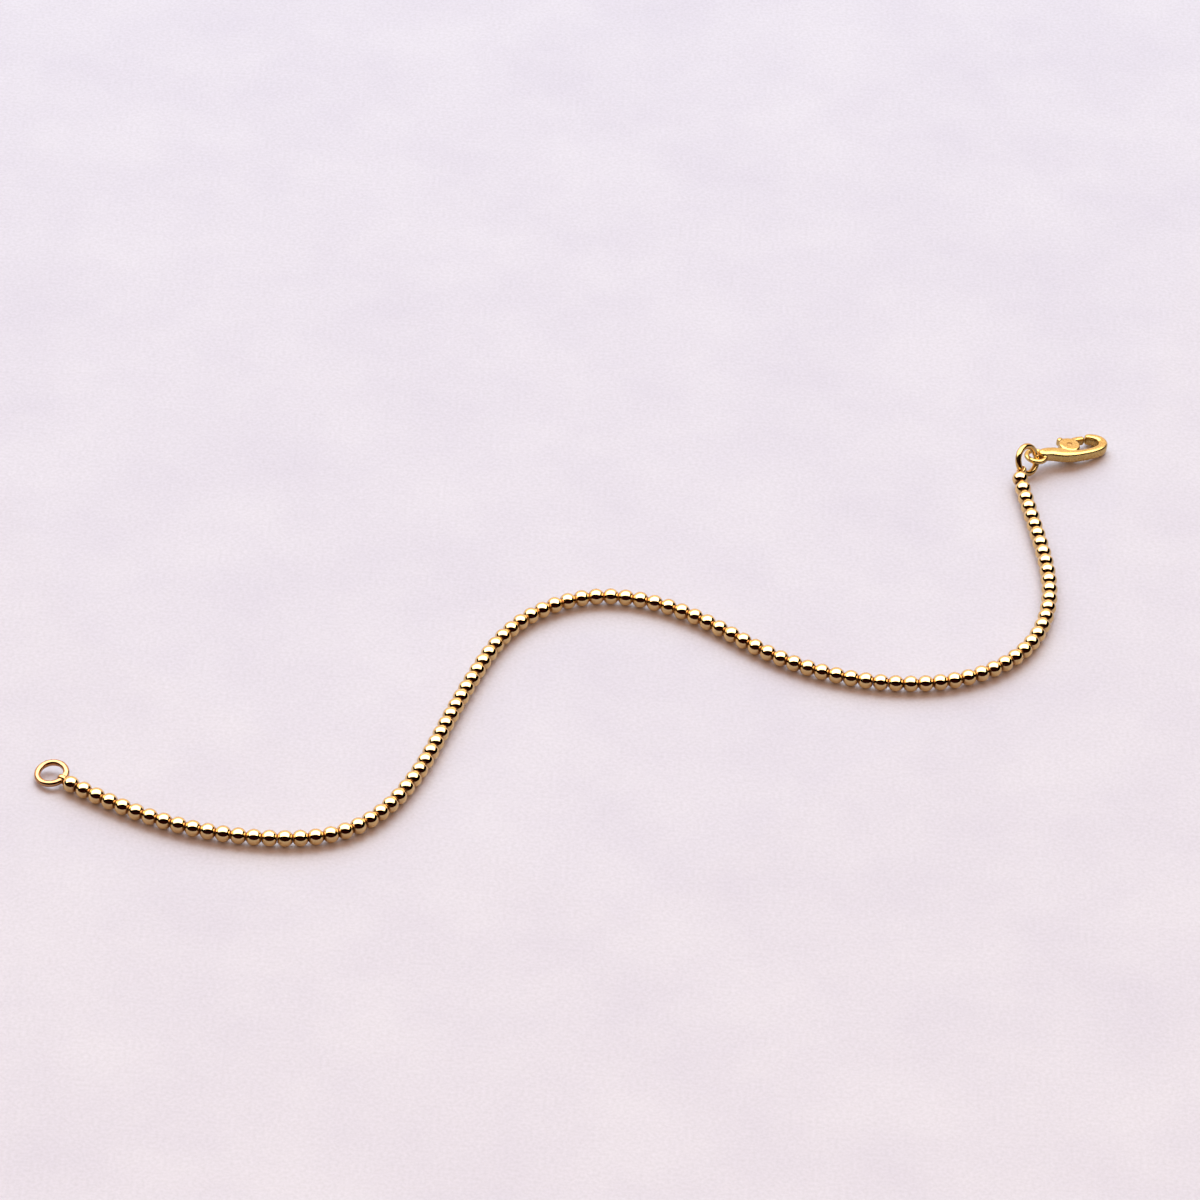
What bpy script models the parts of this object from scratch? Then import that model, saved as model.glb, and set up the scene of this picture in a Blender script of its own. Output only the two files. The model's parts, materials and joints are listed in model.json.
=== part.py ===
"""Ball chain bracelet, laid open in an S curve on a flat surface.

The chain is a string of drilled, polished beads on a core wire that ends in a
fine eye at either end.  One eye holds a round end ring, the other a jump ring
that hangs in the tail eye of a lobster clasp.  The clasp is a cast body with a
hooked claw, a sprung lever on a rivet, and the rivet itself.

Units are metres and +Z is up.  The chain lies on z = 0.
"""

import math

import bmesh
import bpy
import numpy as np
from mathutils import Matrix, Vector

MM = 0.001

# Beads
BEAD_COUNT = 102
BEAD_DIAMETER = 1.86 * MM
BEAD_HOLE = 0.84 * MM
BEAD_GAP = 0.021 * MM
BEAD_SIDES = 12
BEAD_BANDS = 4

# Core wire eyes at the chain's ends
EYE_WIRE = 0.25 * MM
EYE_WIRE_SIDES = 6
EYE_STEPS = 12
EYE_CLEARANCE = 0.12 * MM

# End ring and jump ring, both bent from the same round wire
RING_WIRE = 0.72 * MM
RING_MEAN_DIAMETER = 3.18 * MM
RING_WIRE_SIDES = 6
RING_STEPS = 24
RING_JOINT_GAP = 0.08 * MM
RING_JOINT_STEP = 0.07 * MM

# How the end ring leaves the first bead: where the chain's end points on the
# surface, how far it dips, and how far the ring is rolled about that line
END_RING_HEADING = 142.0
END_RING_RISE = -2.0
END_RING_ROLL = 10.5
END_RING_JOINT_TURN = 14.0

# How the jump ring stands at the last bead
JUMP_RING_HEADING = 84.2
JUMP_RING_RISE = 10.0
JUMP_RING_TILT = 64.0
JUMP_RING_TURN = -37.0
JUMP_RING_JOINT_TURN = 150.0
LAST_BEAD_LIFT = 0.24 * MM
BEFORE_LAST_LIFT = 0.08 * MM

# Lobster clasp
CLASP_LENGTH = 10.9 * MM
CLASP_WIDTH = 3.7 * MM
CLASP_THICKNESS = 1.3 * MM
CLASP_EDGE = 0.24 * MM
CLASP_HEADING = 30.0
TAIL_EYE_WIRE = 0.6 * MM
TAIL_EYE_HOLE = 1.6 * MM
TAIL_EYE_STEPS = 18
TAIL_EYE_SIDES = 6
TAIL_LINK_ANGLE = 12.0

# Lever, its rivet and the slot that it turns in: the slot reaches past the
# closed arm by the lever's travel and some room, and past the thumb lug
PIVOT_ALONG = 4.7 * MM
PIVOT_ACROSS = 0.3 * MM
BOSS_RADIUS = 1.25 * MM
BOSS_RISE = 0.04 * MM
CLAW_STEPS = 26
CLAW_CAP_STEPS = 4
BOSS_STEPS = 22
EDGE_BANDS = 2
RIVET_DIAMETER = 0.5 * MM
RIVET_CLEARANCE = 0.03 * MM
RIVET_RECESS = 0.05 * MM
RIVET_EDGE = 0.04 * MM
RIVET_STEPS = 14
LEVER_WEB = 0.5 * MM
LEVER_THICKNESS = 1.06 * MM
LEVER_ROOT_RADIUS = 0.8 * MM
LEVER_ROOT_EDGE = 0.1 * MM
LEVER_SIDE_CLEARANCE = 0.08 * MM
LEVER_RUN_CLEARANCE = 0.1 * MM
LEVER_TRAVEL = 20.0
THUMB_REACH = 0.55 * MM
THUMB_WIDTH = 0.8 * MM
THUMB_ANGLE = 104.0
THUMB_STEPS = 4
LEVER_EDGE = 0.18 * MM
LEVER_STEPS = 14
LEVER_CAP_STEPS = 3
LEVER_ROOT_STEPS = 20
GATE_GAP = 0.1 * MM
SLOT_ARM_ROOM = 12.0
SLOT_THUMB_ROOM = 32.0
SLOT_OVERRUN = 0.3 * MM
SLOT_STEPS = 12

# Sides of a crease sharper than this, in degrees, are shaded apart
CREASE_ANGLE = 50.0

# Steps of the chain's route between its ends
ROUTE_STEPS = 3000

# The chain's route on the surface, in millimetres from the middle of the
# bracelet: chosen points, from the end ring's bead to the jump ring's bead
ROUTE_POINTS = [
    (-56.2, -38.6),
    (-46.9, -43.3),
    (-35.8, -45.5),
    (-25.6, -43.3),
    (-19.8, -35.7),
    (-16.2, -24.8),
    (-13.2, -15.1),
    (-8.7, -5.9),
    (-0.5, -0.6),
    (10.8, -3.1),
    (19.4, -8.9),
    (28.5, -12.3),
    (40.5, -11.4),
    (47.6, -6.0),
    (50.9, 4.2),
    (49.6, 16.1),
    (47.5, 26.9),
]

# Sections of the claw from its root to its tip: place along the clasp and
# across it, and half width, as shares of the clasp's length and width
CLAW_SECTIONS = [
    {"along": 0.100, "across": 0.000, "half": 0.185},
    {"along": 0.180, "across": -0.030, "half": 0.210},
    {"along": 0.290, "across": -0.180, "half": 0.220},
    {"along": 0.400, "across": -0.320, "half": 0.160},
    {"along": 0.560, "across": -0.375, "half": 0.128},
    {"along": 0.690, "across": -0.345, "half": 0.135},
    {"along": 0.795, "across": -0.205, "half": 0.150},
    {"along": 0.832, "across": 0.020, "half": 0.150},
    {"along": 0.785, "across": 0.245, "half": 0.140},
    {"along": 0.720, "across": 0.335, "half": 0.110},
]

# Sections of the lever's arm from the rivet to its tip: reach as a share of
# the way from the rivet to the gate, and across and half width as shares of
# the clasp's width
LEVER_SECTIONS = [
    {"reach": 0.00, "across": 0.000, "half": 0.170},
    {"reach": 0.25, "across": 0.165, "half": 0.145},
    {"reach": 0.52, "across": 0.290, "half": 0.110},
    {"reach": 0.80, "across": 0.330, "half": 0.100},
    {"reach": 1.00, "across": 0.335, "half": 0.095},
]


def clear_scene():
    """Remove whatever the scene holds."""
    for thing in list(bpy.data.objects):
        bpy.data.objects.remove(thing, do_unlink=True)


def gold(name, colour, roughness):
    """A polished gold-filled metal with its own colour and roughness."""
    material = bpy.data.materials.new(name)
    material.use_nodes = True
    shader = material.node_tree.nodes["Principled BSDF"]
    shader.inputs["Base Color"].default_value = (*colour, 1.0)
    shader.inputs["Metallic"].default_value = 1.0
    shader.inputs["Roughness"].default_value = roughness
    material.diffuse_color = (*colour, 1.0)
    return material


def unit(vector):
    """A vector scaled to length one."""
    array = np.asarray(vector, dtype=float)
    return array / np.linalg.norm(array)


def heading_vector(heading, rise):
    """A direction from its heading on the surface and its rise, in degrees."""
    turn = math.radians(heading)
    lift = math.radians(rise)
    flat = math.cos(lift)
    return np.array([flat * math.cos(turn), flat * math.sin(turn), math.sin(lift)])


def natural_spline(points, steps):
    """A smooth curve through points: the cubic spline with free ends."""
    points = np.asarray(points, dtype=float)
    knots = np.concatenate([[0.0], np.cumsum(np.linalg.norm(np.diff(points, axis=0), axis=1))])
    gaps = np.diff(knots)
    count = len(points)
    system = np.eye(count)
    right = np.zeros_like(points)
    for row in range(1, count - 1):
        system[row, row - 1] = gaps[row - 1]
        system[row, row] = 2.0 * (gaps[row - 1] + gaps[row])
        system[row, row + 1] = gaps[row]
        slope_after = (points[row + 1] - points[row]) / gaps[row]
        slope_before = (points[row] - points[row - 1]) / gaps[row - 1]
        right[row] = 6.0 * (slope_after - slope_before)
    bend = np.linalg.solve(system, right)
    places = np.linspace(0.0, knots[-1], steps)
    span = np.clip(np.searchsorted(knots, places, side="right") - 1, 0, count - 2)
    width = gaps[span][:, None]
    before = (knots[span + 1] - places)[:, None]
    after = (places - knots[span])[:, None]
    curved = (bend[span] * before**3 + bend[span + 1] * after**3) / (6.0 * width)
    first = (points[span] / width - bend[span] * width / 6.0) * before
    second = (points[span + 1] / width - bend[span + 1] * width / 6.0) * after
    return curved + first + second


def bead_length():
    """Length of a drilled bead: the chord that its hole leaves of the ball."""
    return math.sqrt(BEAD_DIAMETER**2 - BEAD_HOLE**2)


def bead_places():
    """Centre and axis of each bead, a bead and a gap apart along the route."""
    curve = natural_spline(np.array(ROUTE_POINTS) * MM, ROUTE_STEPS)
    lengths = np.concatenate([[0.0], np.cumsum(np.linalg.norm(np.diff(curve, axis=0), axis=1))])
    wanted = np.arange(BEAD_COUNT) * (bead_length() + BEAD_GAP)
    centres = np.zeros((BEAD_COUNT, 3))
    for axis in range(2):
        centres[:, axis] = np.interp(wanted, lengths, curve[:, axis])
    beyond = np.maximum(wanted - lengths[-1], 0.0)[:, None]
    centres[:, :2] += beyond * unit(curve[-1] - curve[-2])
    centres[:, 2] = BEAD_DIAMETER / 2.0
    centres[-1, 2] += LAST_BEAD_LIFT
    centres[-2, 2] += BEFORE_LAST_LIFT
    axes = np.gradient(centres, axis=0)
    axes /= np.linalg.norm(axes, axis=1)[:, None]
    axes[0] = -heading_vector(END_RING_HEADING, END_RING_RISE)
    axes[-1] = heading_vector(JUMP_RING_HEADING, JUMP_RING_RISE)
    return centres, axes


def mesh_object(name, mesh_builder, material):
    """A new object from a bmesh, with faces turned outwards."""
    bmesh.ops.recalc_face_normals(mesh_builder, faces=mesh_builder.faces)
    mesh = bpy.data.meshes.new(name)
    mesh_builder.to_mesh(mesh)
    mesh_builder.free()
    mesh.shade_smooth()
    mesh.set_sharp_from_angle(angle=math.radians(CREASE_ANGLE))
    thing = bpy.data.objects.new(name, mesh)
    bpy.context.collection.objects.link(thing)
    if material is not None:
        mesh.materials.append(material)
    return thing


def add_ring(builder, centre, axis, radius, sides):
    """Vertices of one ring round an axis, the first at its lowest point."""
    side = unit(np.cross([0.0, 0.0, 1.0], axis))
    rise = np.cross(axis, side)
    ring = []
    for number in range(sides):
        turn = -math.pi / 2.0 + 2.0 * math.pi * number / sides
        place = centre + radius * (math.cos(turn) * side + math.sin(turn) * rise)
        ring.append(builder.verts.new(place))
    return ring


def join_rings(builder, rings, closed):
    """Faces between rings in order, with caps unless the row is closed."""
    sides = len(rings[0])
    pairs = list(zip(rings[:-1], rings[1:]))
    if closed:
        pairs.append((rings[-1], rings[0]))
    for one, other in pairs:
        for number in range(sides):
            after = (number + 1) % sides
            builder.faces.new((one[number], one[after], other[after], other[number]))
    if not closed:
        builder.faces.new(rings[0][::-1])
        builder.faces.new(rings[-1])


def make_bead_string(material):
    """All the beads in one skin, joined through their drilled ends."""
    centres, axes = bead_places()
    radius = BEAD_DIAMETER / 2.0
    edge = math.asin(BEAD_HOLE / BEAD_DIAMETER)
    angles = np.linspace(edge, math.pi - edge, BEAD_BANDS + 1)
    builder = bmesh.new()
    rings = []
    for number in range(BEAD_COUNT):
        centre = centres[number]
        axis = axes[number]
        if number == 0:
            first = centre - axis * bead_length() / 2.0
            rings.append(add_ring(builder, first, axis, BEAD_HOLE / 2.0, BEAD_SIDES))
        for angle in angles[1:-1]:
            place = centre - axis * radius * math.cos(angle)
            rings.append(add_ring(builder, place, axis, radius * math.sin(angle), BEAD_SIDES))
        if number < BEAD_COUNT - 1:
            middle = (centre + centres[number + 1]) / 2.0
            along = unit(axis + axes[number + 1])
            rings.append(add_ring(builder, middle, along, BEAD_HOLE / 2.0, BEAD_SIDES))
        else:
            last = centre + axis * bead_length() / 2.0
            rings.append(add_ring(builder, last, axis, BEAD_HOLE / 2.0, BEAD_SIDES))
    join_rings(builder, rings, closed=False)
    return mesh_object("bead_chain", builder, material)


def round_wire(name, centre, start, normal, mean_radius, wire, steps, sides, opening, step, material):
    """A round wire bent into a ring.

    It runs from the direction start round the normal.  An opening above zero
    leaves that gap between its ends, and step sets one end above the other.
    """
    start = unit(start)
    across = np.cross(normal, start)
    closed = opening <= 0.0
    builder = bmesh.new()
    rings = []
    gap_angle = opening / mean_radius
    count = steps if closed else steps + 1
    for number in range(count):
        share = number / steps
        turn = gap_angle / 2.0 + share * (2.0 * math.pi - gap_angle)
        outward = math.cos(turn) * start + math.sin(turn) * across
        offset = (share - 0.5) * step
        middle = centre + outward * mean_radius + normal * offset
        ring = []
        for side in range(sides):
            angle = 2.0 * math.pi * (side + 0.5) / sides
            place = middle + wire / 2.0 * (math.cos(angle) * outward + math.sin(angle) * normal)
            ring.append(builder.verts.new(place))
        rings.append(ring)
    join_rings(builder, rings, closed)
    return mesh_object(name, builder, material)


def chain_end(first):
    """End face centre and outward direction at one end of the chain."""
    centres, axes = bead_places()
    if first:
        out = -axes[0]
        return centres[0] + out * bead_length() / 2.0, out
    return centres[-1] + axes[-1] * bead_length() / 2.0, axes[-1]


def ring_seat(first):
    """Where a ring sits at one end of the chain: its normal, the wire's point
    in the eye, the direction from there to its centre, and its centre."""
    face, out = chain_end(first)
    wire_point = face + out * (RING_WIRE / 2.0 + EYE_CLEARANCE)
    if first:
        side = unit(np.cross(out, [0.0, 0.0, 1.0]))
        upright = np.cross(side, out)
        roll = math.radians(END_RING_ROLL)
        normal = math.cos(roll) * upright - math.sin(roll) * side
    else:
        tilt = math.radians(JUMP_RING_TILT)
        turn = math.radians(JUMP_RING_TURN)
        normal = np.array([
            math.sin(tilt) * math.cos(turn),
            math.sin(tilt) * math.sin(turn),
            math.cos(tilt),
        ])
    inward = unit(out - np.dot(out, normal) * normal)
    centre = wire_point + inward * RING_MEAN_DIAMETER / 2.0
    return normal, wire_point, inward, centre


def union(target, tool):
    """Join a hidden shape to a piece."""
    combine(target, tool, "UNION")


def cut(target, tool):
    """Take a hidden shape away from a piece."""
    combine(target, tool, "DIFFERENCE")


def combine(target, tool, operation):
    """Boolean of a piece with a shape that is hidden afterwards."""
    modifier = target.modifiers.new(operation.lower() + "_" + tool.name, "BOOLEAN")
    modifier.operation = operation
    modifier.solver = "EXACT"
    modifier.object = tool
    tool.hide_render = True
    tool.display_type = "WIRE"


def make_chain(material):
    """The bead string with the core wire's eye at either end."""
    chain = make_bead_string(material)
    for first in (True, False):
        normal, wire_point, inward, _ = ring_seat(first)
        _, out = chain_end(first)
        eye_axis = unit(np.cross(normal, inward))
        eye_radius = RING_WIRE / 2.0 + EYE_CLEARANCE + EYE_WIRE / 2.0
        eye = round_wire(
            "first_eye" if first else "last_eye",
            wire_point,
            -out,
            eye_axis,
            eye_radius,
            EYE_WIRE,
            EYE_STEPS,
            EYE_WIRE_SIDES,
            0.0,
            0.0,
            material,
        )
        union(chain, eye)
    return chain


def make_ring(name, first, joint_turn, material):
    """A ring in the chain's eye, its joint turned away from the eye."""
    normal, _, inward, centre = ring_seat(first)
    across = np.cross(normal, -inward)
    turn = math.radians(joint_turn)
    start = math.cos(turn) * -inward + math.sin(turn) * across
    return round_wire(
        name,
        centre,
        start,
        normal,
        RING_MEAN_DIAMETER / 2.0,
        RING_WIRE,
        RING_STEPS,
        RING_WIRE_SIDES,
        RING_JOINT_GAP,
        RING_JOINT_STEP,
        material,
    )


def arm_outline(rows, steps, cap_steps):
    """Outline of a flat arm: a smooth curve through its sections, each a
    place along, a place across and a half width, with round ends."""
    curve = natural_spline(rows, steps)
    middle = curve[:, :2]
    half = curve[:, 2:]
    along = np.gradient(middle, axis=0)
    along /= np.linalg.norm(along, axis=1)[:, None]
    left = np.stack([-along[:, 1], along[:, 0]], axis=1)
    sweep = np.linspace(0.0, math.pi, cap_steps + 2)[1:-1, None]
    end_cap = middle[-1] + half[-1] * (np.cos(sweep) * left[-1] + np.sin(sweep) * along[-1])
    start_cap = middle[0] - half[0] * (np.cos(sweep) * left[0] + np.sin(sweep) * along[0])
    return np.concatenate([middle + half * left, end_cap, (middle - half * left)[::-1], start_cap])


def round_outline(centre, radius, steps):
    """A circle's outline."""
    turn = np.linspace(0.0, 2.0 * math.pi, steps, endpoint=False)
    return np.stack([centre[0] + radius * np.cos(turn), centre[1] + radius * np.sin(turn)], axis=1)


def fan_outline(centre, radius, start, end, steps):
    """A slice of a disc from its centre, between two angles in degrees."""
    turn = np.radians(np.linspace(start, end, steps))
    arc = np.stack([centre[0] + radius * np.cos(turn), centre[1] + radius * np.sin(turn)], axis=1)
    return np.concatenate([[centre], arc])


def slab(name, outline, low, high, edge, material):
    """A flat piece from an outline, its lower and upper edges rounded."""
    outline = np.asarray(outline, dtype=float)
    following = np.roll(outline, -1, axis=0)
    chord = following - np.roll(outline, 1, axis=0)
    area = np.sum(outline[:, 0] * following[:, 1] - following[:, 0] * outline[:, 1])
    inward = np.stack([-chord[:, 1], chord[:, 0]], axis=1) * np.sign(area)
    inward /= np.linalg.norm(inward, axis=1)[:, None]
    lower = []
    for number in range(EDGE_BANDS + 1):
        angle = math.pi / 2.0 * (1.0 - number / EDGE_BANDS)
        lower.append((edge * (1.0 - math.sin(angle)), edge * (1.0 - math.cos(angle))))
    levels = [(low + rise, inset) for rise, inset in lower]
    levels += [(high - rise, inset) for rise, inset in reversed(lower)]
    builder = bmesh.new()
    rings = []
    for height, inset in levels:
        flat = outline + inward * inset
        rings.append([builder.verts.new((x, y, height)) for x, y in flat])
    join_rings(builder, rings, closed=False)
    return mesh_object(name, builder, material)


def disc(name, centre, radius, low, high, steps):
    """A plain round tool for a cut."""
    outline = round_outline(centre, radius, steps)
    return plate(name, outline, low, high)


def plate(name, outline, low, high):
    """A flat tool with square edges for a cut."""
    builder = bmesh.new()
    rings = []
    for height in (low, high):
        rings.append([builder.verts.new((x, y, height)) for x, y in outline])
    join_rings(builder, rings, closed=False)
    return mesh_object(name, builder, None)


def claw_rows():
    """Sections of the claw in metres: along, across and half width."""
    return np.array([
        [
            row["along"] * CLASP_LENGTH,
            row["across"] * CLASP_WIDTH,
            row["half"] * CLASP_WIDTH,
        ]
        for row in CLAW_SECTIONS
    ])


def lever_rows():
    """Sections of the lever's arm from its rivet, up to the claw's tip."""
    claw_tip = claw_rows()[-1]
    tip_half = LEVER_SECTIONS[-1]["half"] * CLASP_WIDTH
    gate = claw_tip[0] - claw_tip[2] - GATE_GAP - tip_half
    rows = []
    for row in LEVER_SECTIONS:
        rows.append([
            row["reach"] * (gate - PIVOT_ALONG),
            PIVOT_ACROSS * (1.0 - row["reach"]) + row["across"] * CLASP_WIDTH - PIVOT_ACROSS,
            row["half"] * CLASP_WIDTH,
        ])
    return np.array(rows)


def make_clasp_body(material):
    """The cast body: claw, rivet boss and tail eye, slotted for the lever."""
    half = CLASP_THICKNESS / 2.0
    pivot = (PIVOT_ALONG, PIVOT_ACROSS)
    claw = arm_outline(claw_rows(), CLAW_STEPS, CLAW_CAP_STEPS)
    body = slab("clasp_body", claw, -half, half, CLASP_EDGE, material)
    boss_half = half + BOSS_RISE
    boss_round = round_outline(pivot, BOSS_RADIUS, BOSS_STEPS)
    boss = slab("boss", boss_round, -boss_half, boss_half, CLASP_EDGE, material)
    eye_radius = (TAIL_EYE_HOLE + TAIL_EYE_WIRE) / 2.0
    eye = round_wire(
        "tail_eye",
        np.zeros(3),
        (1.0, 0.0, 0.0),
        np.array([0.0, 0.0, 1.0]),
        eye_radius,
        TAIL_EYE_WIRE,
        TAIL_EYE_STEPS,
        TAIL_EYE_SIDES,
        0.0,
        0.0,
        material,
    )
    slot_half = LEVER_WEB / 2.0 + LEVER_SIDE_CLEARANCE
    slot_fan = plate(
        "slot_fan",
        fan_outline(
            pivot,
            BOSS_RADIUS + SLOT_OVERRUN,
            -LEVER_TRAVEL - SLOT_ARM_ROOM,
            THUMB_ANGLE + SLOT_THUMB_ROOM,
            SLOT_STEPS,
        ),
        -slot_half,
        slot_half,
    )
    root_room = LEVER_ROOT_RADIUS + LEVER_RUN_CLEARANCE
    slot_root = disc("slot_root", pivot, root_room, -slot_half, slot_half, LEVER_ROOT_STEPS)
    hole = disc(
        "body_rivet_hole",
        pivot,
        RIVET_DIAMETER / 2.0 + RIVET_CLEARANCE,
        -CLASP_THICKNESS,
        CLASP_THICKNESS,
        RIVET_STEPS,
    )
    union(body, boss)
    union(body, eye)
    cut(body, slot_fan)
    cut(body, slot_root)
    cut(body, hole)
    return [body, boss, eye, slot_fan, slot_root, hole]


def make_clasp_lever(material):
    """The lever about its rivet: arm, round root and thumb lug."""
    half = LEVER_THICKNESS / 2.0
    arm = arm_outline(lever_rows(), LEVER_STEPS, LEVER_CAP_STEPS)
    lever = slab("clasp_lever", arm, -half, half, LEVER_EDGE, material)
    root_round = round_outline((0.0, 0.0), LEVER_ROOT_RADIUS, LEVER_ROOT_STEPS)
    root = slab("lever_root", root_round, -half, half, LEVER_ROOT_EDGE, material)
    run_radius = BOSS_RADIUS + LEVER_RUN_CLEARANCE
    turn = math.radians(THUMB_ANGLE)
    far = run_radius + THUMB_REACH - THUMB_WIDTH / 2.0
    thumb_rows = np.array([
        [0.0, 0.0, THUMB_WIDTH / 2.0],
        [far / 2.0 * math.cos(turn), far / 2.0 * math.sin(turn), THUMB_WIDTH / 2.0],
        [far * math.cos(turn), far * math.sin(turn), THUMB_WIDTH / 2.0],
    ])
    thumb_outline = arm_outline(thumb_rows, THUMB_STEPS, LEVER_CAP_STEPS)
    thumb = slab("thumb_lug", thumb_outline, -half, half, LEVER_EDGE, material)
    web = LEVER_WEB / 2.0
    above = disc("above_web", (0.0, 0.0), run_radius, web, CLASP_THICKNESS, BOSS_STEPS)
    below = disc("below_web", (0.0, 0.0), run_radius, -CLASP_THICKNESS, -web, BOSS_STEPS)
    hole = disc(
        "lever_rivet_hole",
        (0.0, 0.0),
        RIVET_DIAMETER / 2.0 + RIVET_CLEARANCE,
        -CLASP_THICKNESS,
        CLASP_THICKNESS,
        RIVET_STEPS,
    )
    union(lever, root)
    union(lever, thumb)
    cut(lever, above)
    cut(lever, below)
    cut(lever, hole)
    return [lever, root, thumb, above, below, hole]


def make_rivet(material):
    """The lever's rivet, dressed just under the boss's faces."""
    half = CLASP_THICKNESS / 2.0 + BOSS_RISE - RIVET_RECESS
    outline = round_outline((0.0, 0.0), RIVET_DIAMETER / 2.0, RIVET_STEPS)
    return slab("clasp_rivet", outline, -half, half, RIVET_EDGE, material)


def clasp_seat():
    """Where the clasp's tail eye holds the jump ring: place and turn."""
    normal, _, _, centre = ring_seat(False)
    level = unit(np.cross([0.0, 0.0, 1.0], normal))
    upward = np.cross(normal, level)
    angle = math.radians(TAIL_LINK_ANGLE)
    reach = RING_MEAN_DIAMETER / 2.0
    place = centre + reach * (math.cos(angle) * level - math.sin(angle) * upward)
    foot_along = (claw_rows()[:, 0]).max()
    foot_down = CLASP_THICKNESS / 2.0
    span = math.hypot(foot_along, foot_down)
    pitch = math.asin(place[2] / span) - math.atan2(foot_down, foot_along)
    return place, pitch


def seat_clasp(pieces, lever_pieces):
    """Hang the clasp's pieces from one empty at the tail eye's centre."""
    place, pitch = clasp_seat()
    seat = bpy.data.objects.new("clasp_seat", None)
    bpy.context.collection.objects.link(seat)
    seat.location = place
    seat.rotation_euler = (0.0, pitch, math.radians(CLASP_HEADING))
    for thing in pieces + lever_pieces:
        thing.parent = seat
    for thing in lever_pieces:
        thing.location = (PIVOT_ALONG, PIVOT_ACROSS, 0.0)
    return seat


def stand_on_origin(pieces, loose):
    """Move everything so that the pieces stand centred on the origin."""
    bpy.context.view_layer.update()
    graph = bpy.context.evaluated_depsgraph_get()
    corners = []
    for piece in pieces:
        shape = piece.evaluated_get(graph).to_mesh()
        points = np.empty(len(shape.vertices) * 3)
        shape.vertices.foreach_get("co", points)
        world = np.array(piece.matrix_world)
        points = points.reshape(-1, 3) @ world[:3, :3].T + world[:3, 3]
        corners.append(points.min(axis=0))
        corners.append(points.max(axis=0))
        piece.evaluated_get(graph).to_mesh_clear()
    low = np.min(corners, axis=0)
    high = np.max(corners, axis=0)
    shift = Vector((-(low[0] + high[0]) / 2.0, -(low[1] + high[1]) / 2.0, -low[2]))
    for thing in loose:
        thing.location = thing.location + shift
    bpy.context.view_layer.update()


def main():
    """Build the bracelet."""
    clear_scene()
    bead_gold = gold("polished_bead_gold", (0.83, 0.59, 0.27), 0.12)
    ring_gold = gold("drawn_wire_gold", (0.85, 0.60, 0.29), 0.16)
    jump_gold = gold("jump_ring_gold", (0.84, 0.61, 0.30), 0.18)
    cast_gold = gold("cast_clasp_gold", (0.80, 0.57, 0.28), 0.22)
    lever_gold = gold("lever_gold", (0.78, 0.55, 0.26), 0.24)
    rivet_gold = gold("rivet_gold", (0.72, 0.50, 0.24), 0.28)
    chain = make_chain(bead_gold)
    end_ring = make_ring("end_ring", True, END_RING_JOINT_TURN, ring_gold)
    jump_ring = make_ring("jump_ring", False, JUMP_RING_JOINT_TURN, jump_gold)
    body_pieces = make_clasp_body(cast_gold)
    lever_pieces = make_clasp_lever(lever_gold)
    rivet = make_rivet(rivet_gold)
    seat_clasp(body_pieces, lever_pieces + [rivet])
    pieces = [chain, end_ring, jump_ring, body_pieces[0], lever_pieces[0], rivet]
    loose = [thing for thing in bpy.data.objects if thing.parent is None]
    stand_on_origin(pieces, loose)


main()
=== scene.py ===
"""Looks of the ball chain bracelet: polished beads, wire rings and a cast clasp.

All lengths in the classes are in millimetres, in the part's own frame, and are
turned into metres where a mesh is made.
"""

import json
import logging
import math
from dataclasses import dataclass, field, replace
from enum import Enum

import bpy
import numpy as np
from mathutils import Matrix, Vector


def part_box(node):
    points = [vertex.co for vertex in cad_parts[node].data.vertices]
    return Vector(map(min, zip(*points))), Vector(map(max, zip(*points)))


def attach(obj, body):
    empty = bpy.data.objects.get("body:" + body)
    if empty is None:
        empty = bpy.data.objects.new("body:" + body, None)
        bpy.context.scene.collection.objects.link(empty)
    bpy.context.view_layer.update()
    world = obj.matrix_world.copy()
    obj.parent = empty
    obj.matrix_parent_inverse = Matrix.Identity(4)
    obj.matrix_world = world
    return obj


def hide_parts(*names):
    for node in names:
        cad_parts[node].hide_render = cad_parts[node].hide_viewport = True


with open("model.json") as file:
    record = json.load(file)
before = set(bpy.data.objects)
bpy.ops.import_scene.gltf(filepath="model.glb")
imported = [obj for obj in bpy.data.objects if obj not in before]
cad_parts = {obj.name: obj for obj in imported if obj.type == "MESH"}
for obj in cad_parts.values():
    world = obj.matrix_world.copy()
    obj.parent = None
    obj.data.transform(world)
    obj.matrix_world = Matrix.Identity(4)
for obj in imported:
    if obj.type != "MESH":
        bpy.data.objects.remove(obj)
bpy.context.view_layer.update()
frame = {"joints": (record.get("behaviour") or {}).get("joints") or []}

MM = 0.001
UP = np.array([0.0, 0.0, 1.0])

# Layers on the meshes that the finishes read
NOTCH_SHADE_LAYER = "painted_notch_shade"
WIRE_MAP = "wire"

# A Mix node's sockets share their names, so they go by number: the two inputs
# and the output for colours, and those for single values
COLOUR_A, COLOUR_B, COLOUR_OUT = 6, 7, 2
VALUE_A, VALUE_B, VALUE_OUT = 2, 3, 0

# Diameter of the wire of the end ring and the jump ring, in millimetres
RING_WIRE = 0.72

# How the rings stand, in degrees: the end ring's roll about the way out of the
# first bead, the jump ring's tilt from level and the heading of that tilt, and
# where each ring's joint is, round from the eye that holds it
END_RING_ROLL = 10.5
END_RING_JOINT = 14.0
JUMP_RING_TILT = 64.0
JUMP_RING_TURN = -37.0
JUMP_RING_JOINT = 150.0

logging.basicConfig(level=logging.INFO, format="%(message)s")
log = logging.getLogger("bracelet")


class ChainEnd(Enum):
    """The two ends of the chain."""

    FIRST = "first"
    LAST = "last"


class Grain(Enum):
    """How the fine marks of a finish run."""

    TUMBLED = "tumbled"
    DRAWN = "drawn"


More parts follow.
